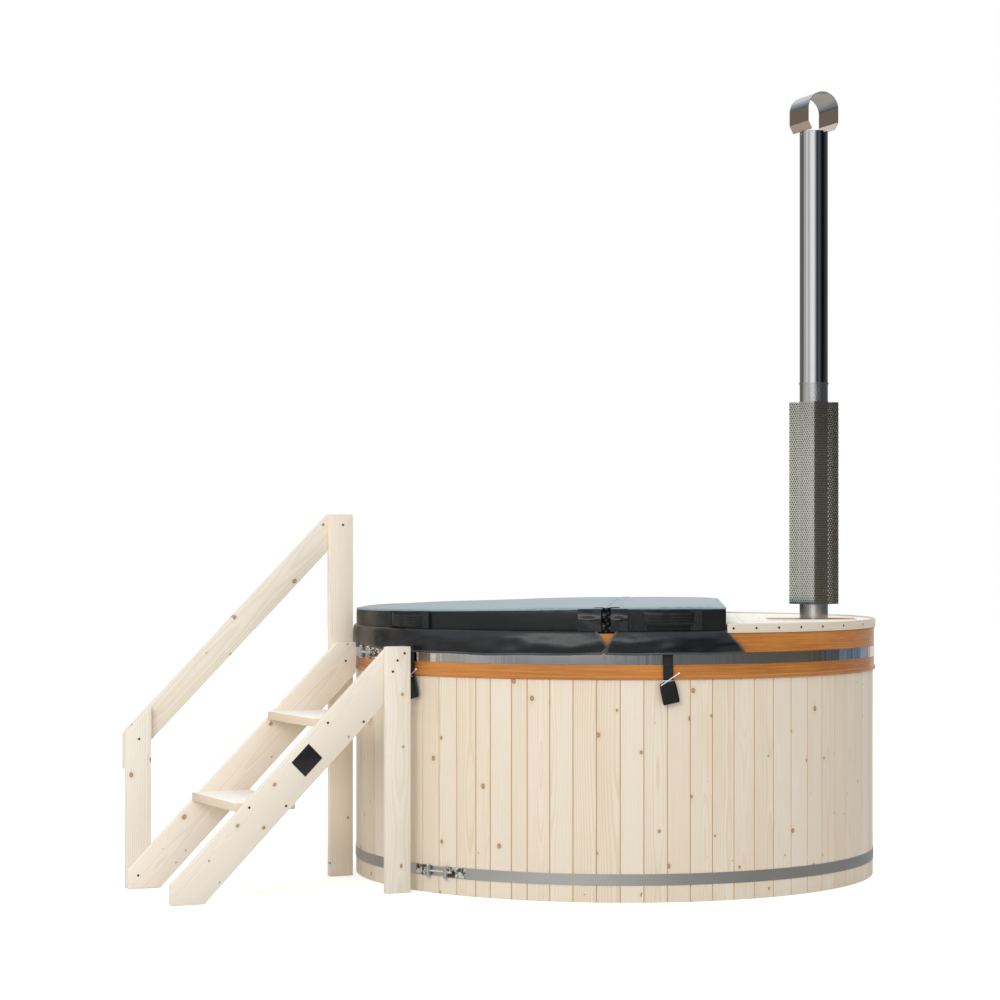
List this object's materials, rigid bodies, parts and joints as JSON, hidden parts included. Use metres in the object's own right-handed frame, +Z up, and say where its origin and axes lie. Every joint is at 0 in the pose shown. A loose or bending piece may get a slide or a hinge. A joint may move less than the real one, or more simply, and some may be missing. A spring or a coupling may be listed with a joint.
{
  "type": "wooden hot tub",
  "caption": "Round hot tub of grooved boards and steel bands, with plastic liner, inside stove, chimney, folding padded cover and wooden steps.",
  "frame": {"origin": "centre of the round tub on the ground", "axes": "+Z up; +X from the tub's centre through the stove and chimney; the cover folds along Y; the steps stand towards -X and -Y"},
  "size_m": [2.7974, 2.3311, 3.001],
  "materials": {
    "wall_spruce": "raw planed spruce, V-grooved, light and knotty",
    "base_spruce": "raw sawn spruce",
    "plywood": "raw plywood",
    "foam": "rigid insulation foam",
    "liner_plastic": "rotomoulded orange-brown marbled plastic, slightly glossy",
    "upper_band_steel": "polished stainless strap",
    "lower_band_steel": "satin stainless strap",
    "clamp_steel": "turned stainless steel",
    "bench_spruce": "raw planed spruce",
    "stove_metal": "welded marine aluminium sheet",
    "stove_handle": "black heat-proof paint",
    "pipe_steel": "thin stainless flue pipe, satin",
    "guard_steel": "perforated stainless sheet",
    "drain_steel": "stainless pipe fittings",
    "lever_paint": "red dipped lever",
    "stair_spruce": "raw planed spruce with knots",
    "screw_steel": "dark screw heads",
    "plate_plastic": "bare black plate",
    "lid_spruce": "raw planed spruce boards",
    "cover_vinyl": "black vinyl sides and skirt, light grey woven-look vinyl on top",
    "webbing": "black webbing, stitched",
    "pouch_vinyl": "black vinyl pouch",
    "zip_tie_plastic": "white nylon"
  },
  "bodies": {
    "tub": {"wall_staves": "wall_spruce", "drain_board": "wall_spruce", "closing_staves": "wall_spruce", "base_joists": "base_spruce", "floor_panel": "plywood", "floor_foam": "foam", "wall_foam": "foam", "tub_liner": "liner_plastic", "upper_band": "upper_band_steel", "lower_band": "lower_band_steel", "clamp_trunnions": "clamp_steel", "clamp_bolts": "clamp_steel", "clamp_nuts": "clamp_steel", "bench_slats": "bench_spruce", "bench_brackets": "bench_spruce", "partition_boards": "bench_spruce", "partition_rails": "bench_spruce", "stove_body": "stove_metal", "flue_collar": "stove_metal", "chimney_lower": "pipe_steel", "chimney_upper": "pipe_steel", "chimney_cap": "pipe_steel", "cap_rivets": "pipe_steel", "heat_guard": "guard_steel", "guard_standoffs": "guard_steel", "drain_fitting": "drain_steel", "drain_locknut": "drain_steel", "drain_strainer": "drain_steel", "drain_valve": "drain_steel", "hose_spigot": "drain_steel", "front_stringer": "stair_spruce", "rear_stringer": "stair_spruce", "front_post": "stair_spruce", "rear_post": "stair_spruce", "low_post": "stair_spruce", "handrail": "stair_spruce", "lower_tread": "stair_spruce", "upper_tread": "stair_spruce", "stair_screws": "screw_steel", "label_plate": "plate_plastic"},
    "heater_lid": {"lid_boards": "lid_spruce", "lid_rim": "lid_spruce", "lid_battens": "lid_spruce", "lid_screws": "screw_steel"},
    "cover_right": {"cover_right": "cover_vinyl", "fold_strip": "cover_vinyl", "skirt_right": "cover_vinyl", "handle_right": "webbing", "straps_right": "webbing", "pouches_right": "pouch_vinyl", "zip_ties_right": "zip_tie_plastic"},
    "cover_left": {"cover_left": "cover_vinyl", "skirt_left": "cover_vinyl", "handle_left": "webbing", "straps_left": "webbing", "pouches_left": "pouch_vinyl", "zip_ties_left": "zip_tie_plastic"},
    "stove_hatch": {"stove_hatch": "stove_metal", "hatch_handle": "stove_handle"},
    "drain_lever": {"drain_lever": "lever_paint", "drain_ball": "drain_steel"}
  },
  "joints": [
    {"name": "lid_lift", "type": "slide", "parent": "tub", "child": "heater_lid", "axis": [0, 0, 1], "range_m": [0, 0.35]},
    {"name": "cover_lift", "type": "slide", "parent": "tub", "child": "cover_right", "axis": [0, 0, 1], "range_m": [0, 0.4]},
    {"name": "cover_fold", "type": "hinge", "parent": "cover_right", "child": "cover_left", "pos_m": [0, 0, 1.0343], "axis": [0, 1, 0], "range_deg": [0, 120], "deforming": ["straps_left", "pouches_left", "zip_ties_left"]},
    {"name": "hatch_lift", "type": "slide", "parent": "tub", "child": "stove_hatch", "axis": [0, 0, 1], "range_m": [0, 0.13]},
    {"name": "drain_turn", "type": "hinge", "parent": "tub", "child": "drain_lever", "pos_m": [-0.03202, 1.05652, 0.196], "axis": [0, 0, -1], "range_deg": [0, 90]}
  ]
}
